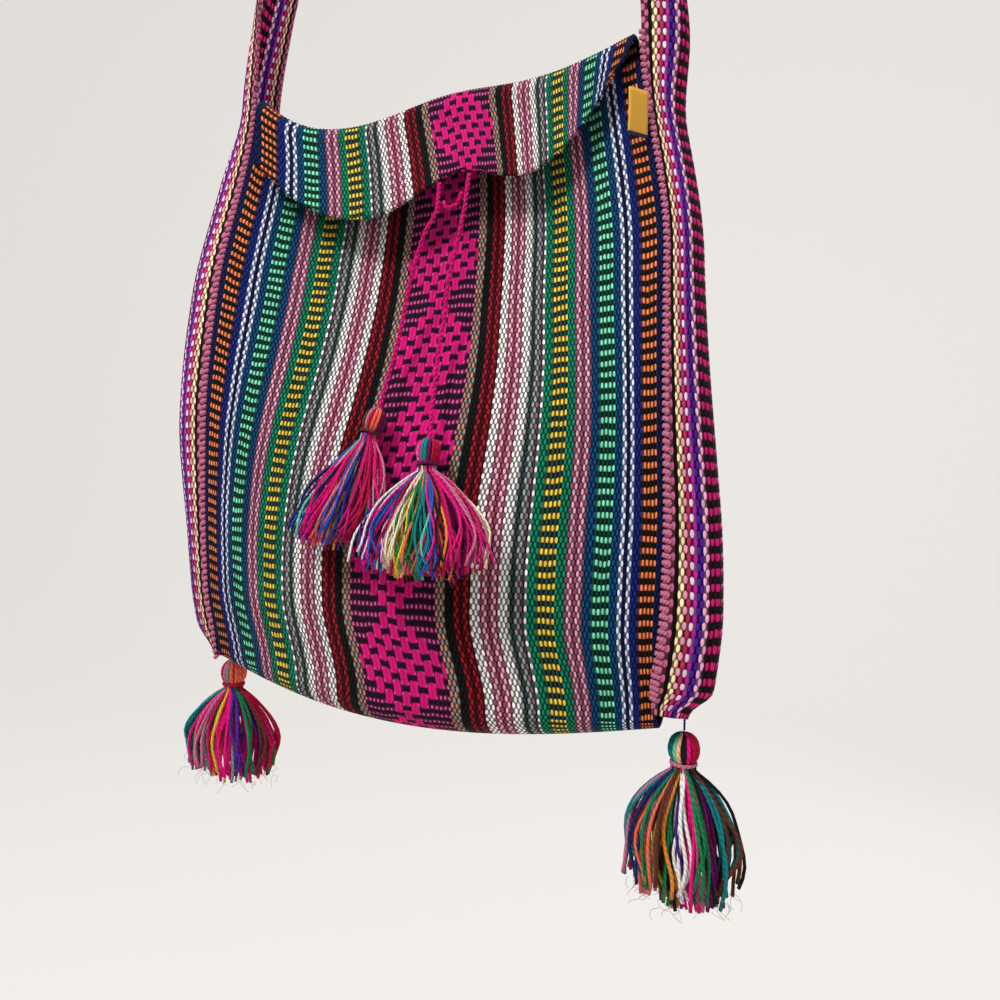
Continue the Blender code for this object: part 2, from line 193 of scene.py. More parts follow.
def strapPoint(side, share, w):
    lean = strapLean(side)
    endX = side * bendRadius * math.cos(lean)
    rise = (strapRise - bendRadius * math.sin(lean)) * share
    opened = ease(0.0, 1.0, rise / band["opening"])
    base = mix(endX, strapStartX(side), 1.0 - share ** band["bow"])
    chord = mix(backEdgeY(0.0) - frontEdgeY(0.0), band["width"], opened)
    bulge = mix(band["bulge"], band["curl"], opened) * (1.0 - ease(band["flatFrom"], 1.0, share))
    centreY = (backEdgeY(0.0) + frontEdgeY(0.0)) / 2 * (1.0 - ease(0.0, 0.5, share))
    spread = mix(math.sin(w * math.pi / 2), w, opened)
    x = base + side * bulge * math.cos(w * math.pi / 2)
    return Vector((x, centreY + chord / 2 * spread, -body["strapDrop"] + rise))


def bendPoint(share, w):
    angle = mix(math.pi + strapLean(-1), -strapLean(1), share)
    return Vector((bendRadius * math.cos(angle), band["width"] / 2 * w,
                   -band["hook"] + bendRadius * math.sin(angle)))


# Materials
def linear(hexColour):
    parts = [int(hexColour[i:i + 2], 16) / 255 for i in (1, 3, 5)]
    return (*[c / 12.92 if c <= 0.04045 else ((c + 0.055) / 1.055) ** 2.4 for c in parts], 1.0)


# Adds one node with its settings and inputs. A socket is linked, and None leaves an input as it is.
def put(tree, kind, *values, **settings):
    node = tree.nodes.new("ShaderNode" + kind)
    for name, value in settings.items():
        setattr(node, name, value)
    for socket, value in zip(node.inputs, values):
        if isinstance(value, bpy.types.NodeSocket):
            tree.links.new(value, socket)
        elif value is not None:
            socket.default_value = value
    return node.outputs[0]


def newMaterial(name, **sockets):
    material = bpy.data.materials.new(name)
    material.use_nodes = True
    shader = material.node_tree.nodes["Principled BSDF"]
    for socket, value in sockets.items():
        shader.inputs[socket.replace("_", " ")].default_value = value
    return material, material.node_tree, shader


def fillRamp(socket, stops):
    ramp = socket.node.color_ramp
    ramp.interpolation = "CONSTANT"
    while len(ramp.elements) < len(stops):
        ramp.elements.new(0.5)
    for element, (position, colour) in zip(ramp.elements, stops):
        element.position = position
        element.color = linear(colour)


# A ramp holds 32 colours at most, so a longer list of stripes goes on in a second ramp.
rampLength = 30


# The colour of a thread by its number, once for the even threads and once for the odd ones.
def threadColour(tree, index, parity, stripes):
    add = partial(put, tree)
    total = sum(count for count, *_ in stripes)
    share = add("Math", add("Math", index, 0.5, operation="ADD"), total, operation="DIVIDE")
    shown = []
    for which in (1, 2):
        start, stops = 0, []
        for stripe in stripes:
            if not stops or stops[-1][1] != stripe[which]:
                stops.append((start, stripe[which]))
            start += stripe[0]
        for first in range(0, len(stops), rampLength):
            part = stops[first:first + rampLength]
            ramp = add("ValToRGB", share)
            fillRamp(ramp, [(at / total, colour) for at, colour in part])
            if first:
                later = add("Math", index, part[0][0] - 0.5, operation="GREATER_THAN")
                ramp = add("MixRGB", later, earlier, ramp)
            earlier = ramp
        shown.append(earlier)
    return add("MixRGB", parity, *shown)


# Warp-faced plain weave. U counts threads from the middle and V counts picks. Each thread is up on every
# other pick, where it shows as a bead that is wider than its own place and hides its neighbours. Pairs are a
# factor and what is added to it, or where an edge starts and ends. Sizes count threads and picks.
weave = {"wanderScale": (0.11, 0.07, 1.0), "wander": (0.9, 1.4, 0.0), "roundness": 2.4, "hidden": 9.0,
         "beadShade": (0.30, 0.72), "streakScale": (3.7, 0.06), "streak": 0.5, "darken": 0.12,
         "rimEdge": (0.35, 1.15), "rimPaintedShade": (0.55, 0.5), "beadEdge": (0.80, 1.12),
         "gapPaintedShade": (0.15, 0.12, 0.14, 1.0), "fibreScale": (9.0, 3.0, 1.0), "fibreShade": (0.30, 0.85),
         "fibreHeight": 0.25, "bump": (0.9, 0.0004)}


def weaveMaterial(name, stripes, beadSize, withLozenges=False):
    # matt worsted yarn: no gloss, a faint fuzz that softens every bead, and painted shade in the gaps between them
    material, tree, shader = newMaterial(name, Roughness=0.95, Sheen_Weight=0.03, Sheen_Roughness=0.5,
                                         Specular_IOR_Level=0.06)
    add = partial(put, tree)
    # hand weaving: threads and picks wander a little
    flat = add("UVMap", uv_map="weave")
    wander = add("TexNoise", add("VectorMath", flat, weave["wanderScale"], operation="MULTIPLY"), None, 1.0, 2.0)
    wander = add("VectorMath", wander.node.outputs["Color"], (0.5, 0.5, 0.5), operation="SUBTRACT")
    wander = add("VectorMath", wander, weave["wander"], operation="MULTIPLY")
    across = add("SeparateXYZ", add("VectorMath", flat, wander, operation="ADD"))
    along = across.node.outputs[1]
    away = add("Math", across, operation="ABSOLUTE")
    thread, pick = (add("Math", value, operation="FLOOR") for value in (away, along))
    inThread, inPick = (add("Math", add("Math", value, operation="FRACT"), 0.5, operation="SUBTRACT")
                        for value in (away, along))
    sideways, lengthways = (add("Math", value, operation="ABSOLUTE") for value in (inThread, inPick))
    down = add("Math", add("Math", thread, pick, operation="ADD"), 2.0, operation="FLOORED_MODULO")
    # distance to the bead beside (or to its own when the thread is up) and to those of the next picks
    flipped = add("Math", add("Math", sideways, -2.0, 1.0, operation="MULTIPLY_ADD"), down, sideways,
                  operation="MULTIPLY_ADD")
    far = add("Math", 1.0, lengthways, operation="SUBTRACT")
    powers = []
    for value, size in zip((flipped, lengthways, sideways, far), beadSize * 2):
        scaled = add("Math", value, size, operation="DIVIDE")
        powers.append(add("Math", scaled, weave["roundness"], operation="POWER"))
    beside = add("Math", *powers[:2], operation="ADD")
    ahead = add("Math", *powers[2:], operation="ADD")
    hidden = add("Math", down, -weave["hidden"], weave["hidden"], operation="MULTIPLY_ADD")
    ahead = add("Math", hidden, ahead, operation="ADD")
    reach = add("Math", beside, ahead, operation="MINIMUM")
    sideWins = add("Math", add("Math", beside, ahead, operation="LESS_THAN"), down, operation="MULTIPLY")
    step = add("Math", add("Math", inThread, operation="SIGN"), sideWins, operation="MULTIPLY")
    owner = add("Math", thread, step, operation="ADD")
    ownerParity = add("Math", add("Math", owner, 2.0, operation="FLOORED_MODULO"), 0.5, operation="GREATER_THAN")
    colour = threadColour(tree, owner, ownerParity, stripes)
    base = threadColour(tree, thread, add("Math", pick, 2.0, operation="FLOORED_MODULO"), stripes)
    # each bead differs a little in shade, and each thread along its length
    cell = add("CombineXYZ", owner, pick, add("Math", across, operation="SIGN"))
    shade = add("TexWhiteNoise", cell, noise_dimensions="3D")
    streakPlace = [add("Math", value, scale, operation="MULTIPLY")
                   for value, scale in zip((owner, along), weave["streakScale"])]
    streak = add("TexNoise", add("CombineXYZ", *streakPlace), None, 1.0, 2.0)
    light = add("Math", add("Math", shade, *weave["beadShade"], operation="MULTIPLY_ADD"),
                add("Math", streak, weave["streak"], operation="MULTIPLY"), operation="ADD")
    light = add("Math", light, weave["darken"], operation="SUBTRACT")
    # rounded bead: painted shading, a little lighter in its middle and darker at its rim, where its neighbours shade
    # it
    rim, mask = (add("MapRange", reach, *weave[edge], 1.0, 0.0, interpolation_type="SMOOTHSTEP")
                 for edge in ("rimEdge", "beadEdge"))
    toneAndPaintedRim = add("Math", light, add("Math", rim, *weave["rimPaintedShade"], operation="MULTIPLY_ADD"), operation="MULTIPLY")
    bead = add("VectorMath", colour, None, None, toneAndPaintedRim, operation="SCALE")
    # the gaps show the hidden thread's own colour, darkened by painted shade where the beads beside shade it
    gap = add("MixRGB", 1.0, base, weave["gapPaintedShade"], blend_type="MULTIPLY")
    surface = add("MixRGB", mask, gap, bead)
    height = add("Math", add("Math", 1.0, reach, operation="SUBTRACT"), 0.0, operation="MAXIMUM")
    height = add("Math", height, 0.5, operation="POWER")
    if withLozenges:
        surface, height = addLozenges(tree, across, along, surface, height, (thread, pick, sideways, lengthways))
    fibres = add("TexNoise", add("VectorMath", flat, weave["fibreScale"], operation="MULTIPLY"), None, 1.0, 3.0)
    tone = add("Math", fibres, *weave["fibreShade"], operation="MULTIPLY_ADD")
    surface = add("VectorMath", surface, None, None, tone, operation="SCALE")
    tree.links.new(surface, shader.inputs["Base Color"])
    height = add("Math", fibres, weave["fibreHeight"], height, operation="MULTIPLY_ADD")
    tree.links.new(add("Bump", *weave["bump"], None, height), shader.inputs["Normal"])
    return material


# Floats of the middle band: every column of four threads shows one float over three picks, then a dark
# square, and neighbouring columns are two picks apart. Together they make lozenges 20 picks long.
lozenges = {"period": 20.0, "phase": 8.5, "halfBand": 20.0, "column": 4.0, "growth": 2.0, "narrowest": 0.6,
            "floatSize": (1.90, 1.52), "floatPowers": (3.2, 2.8), "floatEdge": (0.7, 1.1), "groove": (0.35, 0.60),
            "floatShade": 0.18, "floatHeight": (0.7, 0.5), "dotSize": (0.50, 0.37), "dotEdge": (0.7, 1.2),
            "colour": "#C6126C", "ground": "#560E3A", "bar": "#1E0A1E", "dot": "#C2588A"}


def addLozenges(tree, across, along, surface, height, cell):
    add = partial(put, tree)
    thread, pick, sideways, lengthways = cell
    width = lozenges["column"]
    # the ground between them: short dots on every other pick, and a dark bar on the next
    oddThread, oddPick = (add("Math", value, 2.0, operation="FLOORED_MODULO") for value in (thread, pick))
    squares = [add("Math", add("Math", value, size, operation="DIVIDE"), 2.0, operation="POWER")
               for value, size in zip((sideways, lengthways), lozenges["dotSize"])]
    dot = add("MapRange", add("Math", *squares, operation="ADD"), *lozenges["dotEdge"], 1.0, 0.0)
    dot = add("Math", dot, add("Math", oddThread, oddPick, operation="MULTIPLY"), operation="MULTIPLY")
    ground = add("MixRGB", oddPick, linear(lozenges["bar"]), linear(lozenges["ground"]))
    ground = add("MixRGB", dot, ground, linear(lozenges["dot"]))
    onBand = add("Math", thread, lozenges["halfBand"], operation="LESS_THAN")
    surface = add("MixRGB", onBand, surface, ground)
    # the place in a column, from its middle, and the place in a float, from its middle
    shifted = add("Math", across, width / 2, operation="ADD")
    column = add("Math", add("Math", shifted, 1.0 / width, operation="MULTIPLY"), operation="FLOOR")
    inColumn = add("Math", column, -width, add("Math", shifted, width / 2, operation="SUBTRACT"),
                   operation="MULTIPLY_ADD")
    odd = add("Math", column, 2.0, operation="FLOORED_MODULO")
    turn = add("Math", add("Math", odd, 2.0, along, operation="MULTIPLY_ADD"), 4.0, operation="FLOORED_MODULO")
    fromMiddle = add("Math", turn, 2.5, operation="SUBTRACT")
    middle = add("Math", along, fromMiddle, operation="SUBTRACT")
    phase = add("Math", add("Math", middle, lozenges["phase"], operation="SUBTRACT"), lozenges["period"],
                operation="FLOORED_MODULO")
    fromWidest = add("Math", add("Math", phase, lozenges["period"] / 2, operation="SUBTRACT"), operation="ABSOLUTE")
    # 0 at the narrow places and the full half width at the widest
    halfColumns = add("Math", fromWidest, lozenges["growth"], lozenges["narrowest"], operation="MULTIPLY_ADD")
    inside = add("Math", add("Math", add("Math", column, operation="ABSOLUTE"), width, operation="MULTIPLY"),
                 halfColumns, operation="LESS_THAN")
    inside = add("Math", inside, onBand, operation="MULTIPLY")
    powers = []
    for value, size, power in zip((inColumn, fromMiddle), lozenges["floatSize"], lozenges["floatPowers"]):
        scaled = add("Math", add("Math", value, operation="ABSOLUTE"), size, operation="DIVIDE")
        powers.append(add("Math", scaled, power, operation="POWER"))
    reach = add("Math", *powers, operation="ADD")
    mask = add("Math", add("MapRange", reach, *lozenges["floatEdge"], 1.0, 0.0), inside, operation="MULTIPLY")
    # the float is a pair of warps side by side, with painted shade in the groove between them
    pair = add("Math", inColumn, math.pi / lozenges["floatSize"][0], operation="MULTIPLY")
    pair = add("Math", add("Math", pair, operation="SINE"), operation="ABSOLUTE")
    key = add("CombineXYZ", column, add("Math", middle, operation="ROUND"))
    shade = add("TexWhiteNoise", key, noise_dimensions="3D")
    # painted shade: darker in the groove between the two warps, plus a random tone for each float
    light = add("Math", add("Math", pair, *lozenges["groove"], operation="MULTIPLY_ADD"),
                add("Math", shade, lozenges["floatShade"], operation="MULTIPLY"), operation="ADD")
    colour = add("VectorMath", linear(lozenges["colour"])[:3], None, None, light, operation="SCALE")
    raised = add("Math", add("Math", pair, 0.5, operation="POWER"), *lozenges["floatHeight"],
                 operation="MULTIPLY_ADD")
    surface = add("MixRGB", mask, surface, colour)
    kept = add("Math", add("Math", 1.0, mask, operation="SUBTRACT"), height, operation="MULTIPLY")
    height = add("Math", mask, raised, kept, operation="MULTIPLY_ADD")
    return surface, height


# Stripes from the middle outwards: how many threads, and the colours of the even and the odd ones.
def plain(count, colour):
    return (count, colour, colour)


clothStripes = [
    (20, "#2B1226", "#A83F74"),
    (4, "#B07E66", "#7D7A74"),
    plain(4, "#101413"),
    plain(2, "#8E1624"), plain(2, "#42080F"), plain(2, "#8E1624"), plain(1, "#42080F"),
    plain(4, "#EAE6E2"),
    plain(1, "#8C3F54"), plain(2, "#DB9DB0"), plain(2, "#8C3F54"), plain(2, "#DB9DB0"), plain(1, "#8C3F54"),
    plain(4, "#E8E6E2"),
    plain(1, "#85938F"), plain(2, "#2E3A37"), plain(2, "#85938F"), plain(1, "#7C5A6C"), plain(1, "#2E3A37"),
    plain(1, "#E4E2DC"),
    plain(4, "#087C5B"),
    (8, "#D9BC45", "#1B3B33"),
    plain(4, "#087C5B"),
    plain(1, "#85455E"), plain(2, "#D497AB"), plain(2, "#85455E"), plain(2, "#D497AB"), plain(1, "#85455E"),
    plain(4, "#0C446F"),
    (8, "#72D4A8", "#04382B"),
    plain(4, "#0C446F"),
    plain(2, "#CCD4E8"), plain(2, "#0D1640"), plain(2, "#CCD4E8"),
    plain(4, "#132673"),
    (8, "#DF7A48", "#1C120D"),
    plain(3, "#0E1C50"),
]

bandStripes = [
    (4, "#CC1D70", "#1E0F16"),
    plain(2, "#F0AFD2"),
    plain(2, "#4D1C92"),
    (2, "#B8249A", "#F3BEDC"),
    (2, "#B52A52", "#E491AE"),
    plain(2, "#F1D9A4"),
    plain(2, "#140C0F"),
    plain(2, "#B9607F"),
]
bandThreadWidths = [1.2] * 4 + [1.0] * 2 + [1.15] * 2 + [1.0] * 2 + [0.95] * 2 + [0.75] * 2 + [0.4] * 2 + [1.1] * 2


# Pieces
def addPiece(name, mesh, material, replaced, rider="bag"):
    piece = bpy.data.objects.new(name, mesh)
    bpy.context.scene.collection.objects.link(piece)
    mesh.materials.append(material)
    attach(piece, rider)
    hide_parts(*replaced)
    return piece


def wovenSheet(columns, rows, place, relief):
    # columns are (u, thread number), rows are (row value, pick number, relief share)
    sheet = bmesh.new()
    uvLayer = sheet.loops.layers.uv.new("weave")
    wide, long = len(columns) - 1, len(rows) - 1
    bmesh.ops.create_grid(sheet, x_segments=wide, y_segments=long, size=0.5)
    spot = {}
    for vert in sheet.verts:
        column, row = round((vert.co.x + 0.5) * wide), round((vert.co.y + 0.5) * long)
        spot[vert] = (column, row)
        vert.co = place(columns[column][0], rows[row][0])
    for face in sheet.faces:
        for loop in face.loops:
            column, row = spot[loop.vert]
            loop[uvLayer].uv = (columns[column][1], rows[row][1])
    sheet.normal_update()
    moved = []
    for vert, (column, row) in spot.items():
        if 0 < column < wide and rows[row][2]:
            up = (int(abs(columns[column][1])) + math.floor(rows[row][1])) % 2 == 0
            moved.append((vert, vert.normal * relief * (1 if up else -1) * rows[row][2]))
    for vert, move in moved:
        vert.co += move
    bmesh.ops.remove_doubles(sheet, verts=sheet.verts, dist=0.00002)
    return sheet


def finishSheet(name, sheet, thickness, material, replaced):
    mesh = bpy.data.meshes.new(name)
    sheet.to_mesh(mesh)
    sheet.free()
    mesh.shade_smooth()
    piece = addPiece(name, mesh, material, replaced)
    solid = piece.modifiers.new("thickness", "SOLIDIFY")
    solid.thickness = thickness
    solid.offset = 0.0
    solid.use_even_offset = False
    return piece


cloth = {"threads": 240, "pick": 0.0026, "thickness": 0.0015, "relief": 0.00018, "beadSize": (0.63, 0.54),
         "picks": {"front": 115, "bottom": 30, "back": 124, "fold": 14}, "coarse": {"back": 4, "bottom": 2}}


# The part and the place in it, the pick number and the share of the relief of every row, from hem to hem.
# The bottom and the back, which the front hides, have fewer rows and no relief.
def clothRows():
    ends, start = {}, 0.0
    for part, picks in cloth["picks"].items():
        ends[part] = (start, start + picks)
        start += picks
    flapPicks = flap["length"] / cloth["pick"]
    ends["flap"] = (start, start + flapPicks)
    rows = [(("front", 0.0), 0.0, 0.0)]
    for part, (low, high) in ends.items():
        step = cloth["coarse"].get(part, 1)
        middle = math.floor(low) + 0.5
        while middle <= low:
            middle += 1
        while middle < high:
            rows.append(((part, middle - low), middle, 1.0 if step == 1 else 0.0))
            middle += step
    rows.append((("flap", flapPicks + 1), start + flapPicks, 0.0))
    return rows


# The threads don't run quite straight. lean pushes them to the right, and spread from the middle to both
# sides, each as a share of the half width.
threadLean = {"flap": 0.10, "frontTop": 0.03, "frontLow": -0.04, "bottom": 0.03, "spread": 0.14}


def pushed(u, part, share):
    lean, spread = 0.0, 0.0
    if part == "front":
        lean = mix(threadLean["frontTop"], threadLean["frontLow"], ease(0.4, 0.8, share))
        lean = mix(lean, threadLean["bottom"], ease(0.85, 1.0, share))
        spread = threadLean["spread"] * ease(0.25, 0.65, share)
    elif part == "bottom":
        lean, spread = (threadLean[key] * (1.0 - ease(0.3, 1.0, share)) for key in ("bottom", "spread"))
    elif part == "fold":
        lean = threadLean["flap"] * ease(0.0, 0.6, share)
    elif part == "flap":
        lean = threadLean["flap"]
    return u + (lean + spread * u) * (1.0 - u * u)


def clothPlace(u, row):
    part, picks = row
    if part == "flap":
        u = pushed(u, part, 0.0)
        return flapPoint(u, clamp(picks * cloth["pick"] / flapDrop(u)))
    share = picks / cloth["picks"][part]
    point = {"front": frontPoint, "bottom": bottomPoint, "back": backPoint, "fold": foldPoint}[part]
    return point(pushed(u, part, share), share)


def buildCloth():
    half = cloth["threads"] // 2
    columns = [(-1.0, -half)]
    columns += [((i + 0.5) / half, i + 0.5) for i in range(-half, half)]
    columns.append((1.0, half))
    sheet = wovenSheet(columns, clothRows(), clothPlace, cloth["relief"])
    material = weaveMaterial("warp-faced striped cotton cloth", clothStripes, cloth["beadSize"], True)
    piece = finishSheet("striped_cloth", sheet, cloth["thickness"], material,
                        ["woven_panel", "woven_flap"])


# wrap: how far the gussets' front threads reach round to the side. puffTop and puffLow: how far the cloth
# stands off the solid near the mouth and further down, where puffTurn says between which heights the one turns
# into the other. open: how far the right strap's back edge is turned out. The right gusset's end is laid
# inwards over the corner and back, keeps part of its bulge and is lifted at its front.
strapCloth = {"pick": 0.0034, "thickness": 0.0018, "relief": 0.00022, "beadSize": (0.66, 0.56), "wrap": 0.73,
              "puffTop": {-1: 0.0065, 1: 0.0005}, "puffLow": {-1: 0.002, 1: 0.011},
              "puffTurn": {-1: (0.6, 0.8), 1: (0.3, 0.95)}, "puffPower": 0.6, "puffFade": (0.95, 0.93),
              "held": 0.15, "open": 0.012, "laid": 0.0045, "laidBack": 0.0030, "laidFrom": 0.85, "kept": 0.72,
              "lift": 0.0055, "liftFrom": 0.93, "liftSide": 0.4}


def bandRows():
    lengths = {}
    for side in (-1, 1):
        lean = strapLean(side)
        lengths[side] = (levelOf(bottomZ(side)) * body["height"],
                         (strapRise - bendRadius * math.sin(lean)) / math.cos(lean))
    bend = (math.pi + strapLean(-1) + strapLean(1)) * bendRadius
    parts = [("gusset", -1, lengths[-1][0]), ("strap", -1, lengths[-1][1]), ("bend", 0, bend),
             ("strap", 1, lengths[1][1]), ("gusset", 1, lengths[1][0])]
    rows, start = [], 0.0
    for kind, side, length in parts:
        picks = length / strapCloth["pick"]
        middle = math.floor(start) + 0.5
        while middle <= start:
            middle += 1
        if not rows:
            rows.append(((kind, side, 0.0), 0.0, 0.0))
        while middle < start + picks:
            rows.append(((kind, side, (middle - start) / picks), middle, 1.0))
            middle += 1
        start += picks
    rows.append((("gusset", 1, 1.0), start, 0.0))
    return rows, start * strapCloth["pick"]


def sidePoint(side, down, w):
    held = ease(0.0, strapCloth["held"], down)
    bulge = math.cos(w * math.pi / 2)
    fadeFrom, fade = strapCloth["puffFade"]
    puff = mix(strapCloth["puffTop"][side], strapCloth["puffLow"][side], ease(*strapCloth["puffTurn"][side], down))
    puff *= held * (1.0 - fade * ease(fadeFrom, 1.0, down)) * bulge ** strapCloth["puffPower"]
    place = gussetPoint(side, down, w) + Vector((side * puff, 0.0, 0.0))
    if side > 0:
        laid = ease(strapCloth["laidFrom"], 1.0, down)
        kept = band["bulge"] * strapCloth["kept"] * ease(band["tuckStart"], 1.0, down) * bulge
        place.x += kept - strapCloth["laid"] * laid + strapCloth["open"] * (1.0 - held) * (w + 1.0) / 2
        place.y -= strapCloth["laidBack"] * laid * (1.0 - w) / 2
        lift = math.cos((w + strapCloth["liftSide"]) / (1.0 + strapCloth["liftSide"]) * math.pi / 2)
        place.z += strapCloth["lift"] * ease(strapCloth["liftFrom"], 1.0, down) * lift
    return place


def bandPlace(w, row):
    kind, side, share = row
    if kind == "bend":
        return bendPoint(share, w)
    if kind == "gusset":
        down = 1.0 - share if side < 0 else share
        wrap = mix(strapCloth["wrap"], 1.0, ease(0.3, 1.0, w))
        w = (w + 1.0) * mix(1.0, wrap, ease(0.0, strapCloth["held"], down)) - 1.0
        return sidePoint(side, down, w)
    up = share if side < 0 else 1.0 - share
    place = strapPoint(side, up, w)
    if side > 0:
        place.x += strapCloth["open"] * (1.0 - ease(0.1, 0.6, up)) * (w + 1.0) / 2
    return place


def buildBand():
    total = sum(bandThreadWidths)
    columns, reached = [], 0.0
    for i, width in enumerate(bandThreadWidths):
        columns.append(((reached + width / 2) / total, i + 0.5))
        reached += width
    columns = [(-u, -t) for u, t in reversed(columns)] + columns
    half = len(bandThreadWidths)
    columns = [(-1.0, -half), *columns, (1.0, half)]
    rows, length = bandRows()
    sheet = wovenSheet(columns, rows, bandPlace, strapCloth["relief"])
    material = weaveMaterial("warp-faced woven band", bandStripes, strapCloth["beadSize"])
    piece = finishSheet("band_strap", sheet, strapCloth["thickness"], material, ["strap_band"])


# Yarn: loose plied strands, each a tube whose UV keeps its colour's number, the place round it and the
# millimetres along it.
yarnColours = {"hotPink": "#E5127C", "crimson": "#B01138", "plum": "#6B1550", "violet": "#4A2490",
               "teal": "#0F7E84", "green": "#16794A", "mint": "#62C9A0", "yellow": "#DDB62F",
               "cream": "#EBDDB8", "white": "#E9E9E4", "coral": "#EE6A4E", "orange": "#E58A34",
               "black": "#1B1718", "grey": "#7F868A", "rose": "#C4708E", "brown": "#5A3024",
               "navy": "#1C2A62", "blue": "#2A56B4", "lightPink": "#F29CC0", "peach": "#F0BC92",
               "magenta": "#C9106E", "purple": "#7A1E86"}
yarnNumbers = {name: number for number, name in enumerate(yarnColours)}


# Pairs are a factor and what is added to it. Scales are per turn and per millimetre.
yarnLook = {"plies": 2.0, "fibreScale": (6.0, 0.9), "groovePaintedShade": (0.55, 0.42), "fibreShade": 0.5, "darken": 0.22,
            "fibreHeight": 0.5, "bump": (0.8, 0.0004)}


def yarnMaterial(name, plyPitch):
    # spun wool-like acrylic: matt, with a soft halo of light on its rim and painted shade in the groove between the
    # plies
    material, tree, shader = newMaterial(name, Roughness=0.9, Sheen_Weight=0.05, Sheen_Roughness=0.4,
                                         Specular_IOR_Level=0.08)
    add = partial(put, tree)
    place = add("SeparateXYZ", add("UVMap", uv_map="yarn"))
    along = place.node.outputs[1]
    number = add("Math", place, operation="FLOOR")
    around = add("MapRange", add("Math", place, operation="FRACT"), 0.05, 0.95, 0.0, 1.0)
    share = add("Math", add("Math", number, 0.5, operation="ADD"), len(yarnColours), operation="DIVIDE")
    ramp = add("ValToRGB", share)
    fillRamp(ramp, [(i / len(yarnColours), c) for i, c in enumerate(yarnColours.values())])
    turn = add("Math", around, yarnLook["plies"], add("Math", along, plyPitch, operation="DIVIDE"),
               operation="MULTIPLY_ADD")
    ply = add("Math", add("Math", turn, operation="FRACT"), math.pi, operation="MULTIPLY")
    ply = add("Math", ply, operation="SINE")
    fibrePlace = [add("Math", value, scale, operation="MULTIPLY")
                  for value, scale in zip((turn, along), yarnLook["fibreScale"])]
    fibres = add("TexNoise", add("CombineXYZ", *fibrePlace, number), None, 1.0, 3.0, 0.6)
    # painted shade: darker in the groove between the plies
    shade = add("Math", add("Math", ply, 0.5, operation="POWER"), *yarnLook["groovePaintedShade"],
                operation="MULTIPLY_ADD")
    shade = add("Math", fibres, yarnLook["fibreShade"],
                add("Math", shade, yarnLook["darken"], operation="SUBTRACT"), operation="MULTIPLY_ADD")
    colour = add("VectorMath", ramp, None, None, shade, operation="SCALE")
    tree.links.new(colour, shader.inputs["Base Color"])
    height = add("Math", fibres, yarnLook["fibreHeight"], ply, operation="MULTIPLY_ADD")
    tree.links.new(add("Bump", *yarnLook["bump"], None, height), shader.inputs["Normal"])
    return material


def startYarns():
    bundle = bmesh.new()
    bundle.loops.layers.uv.new("yarn")
    return bundle


def addYarn(bundle, points, radius, colour, sides=6):
    layer = bundle.loops.layers.uv["yarn"]
    path = [points[0], *points, points[-1]]
    walked, last = [0.0], len(path) - 1
    for a, b in zip(path, path[1:]):
        walked.append(walked[-1] + (b - a).length)
    made = bmesh.ops.create_grid(bundle, x_segments=last, y_segments=sides, size=0.5)["verts"]
    ringOf = {vert: round((vert.co.x + 0.5) * last) for vert in made}
    for face in {face for vert in made for face in vert.link_faces}:
        for loop in face.loops:
            # the place round the yarn follows the colour's number and keeps clear of the next whole number
            around = 0.05 + 0.9 * (loop.vert.co.y + 0.5)
            loop[layer].uv = (yarnNumbers[colour] + around, walked[ringOf[loop.vert]] * 1000.0)
    frames, side = [], None
    for before, after in zip([points[0], *points[:-1]], [*points[1:], points[-1]]):
        forward = (after - before).normalized()
        side = forward.orthogonal() if side is None else side - forward * side.dot(forward)
        side.normalize()
        frames.append((side.copy(), forward.cross(side)))
    frames = [frames[0], *frames, frames[-1]]
    for vert in made:
        ring = ringOf[vert]
        turn = 2 * math.pi * (vert.co.y + 0.5)
        size = 0.0 if ring in (0, last) else radius
        vert.co = path[ring] + (frames[ring][0] * math.cos(turn) + frames[ring][1] * math.sin(turn)) * size


def finishYarns(name, bundle, material, replaced, rider="bag"):
    bmesh.ops.remove_doubles(bundle, verts=bundle.verts, dist=0.000004)
    bmesh.ops.recalc_face_normals(bundle, faces=bundle.faces)
    mesh = bpy.data.meshes.new(name)
    bundle.to_mesh(mesh)
    bundle.free()
    mesh.shade_smooth()
    return addPiece(name, mesh, material, replaced, rider)


def smoothRoute(route, spacing):
    ends = [route[0] * 2 - route[1], *route, route[-1] * 2 - route[-2]]
    points = []
    for before, start, end, after in zip(ends, ends[1:], ends[2:], ends[3:]):
        steps = max(1, round((end - start).length / spacing))
        for step in range(steps):
            t = step / steps
            bend = (before * -1 + start * 3 - end * 3 + after) * t ** 3
            pull = (before * 2 - start * 5 + end * 4 - after) * t ** 2
            points.append((start * 2 + (end - before) * t + pull + bend) / 2)
    points.append(route[-1])
    return points


# The plies wind round the middle line of the cord. Shares of its radius.
plies = {"offset": 0.5, "radius": 0.56}


def addPlies(bundle, path, radius, pitch, colours):
    walked, last = 0.0, len(path) - 1
    lines = [[] for _ in colours]
    side = None
    for i, point in enumerate(path):
        forward = (path[min(i + 1, last)] - path[max(i - 1, 0)]).normalized()
        side = forward.orthogonal() if side is None else side - forward * side.dot(forward)
        side.normalize()
        if i:
            walked += (point - path[i - 1]).length
        for number, line in enumerate(lines):
            turn = 2 * math.pi * (walked / pitch + number / len(colours))
            aside = side * math.cos(turn) + forward.cross(side) * math.sin(turn)
            line.append(point + aside * radius * plies["offset"])
    for line, colour in zip(lines, colours):
        addYarn(bundle, line, radius * plies["radius"], colour)


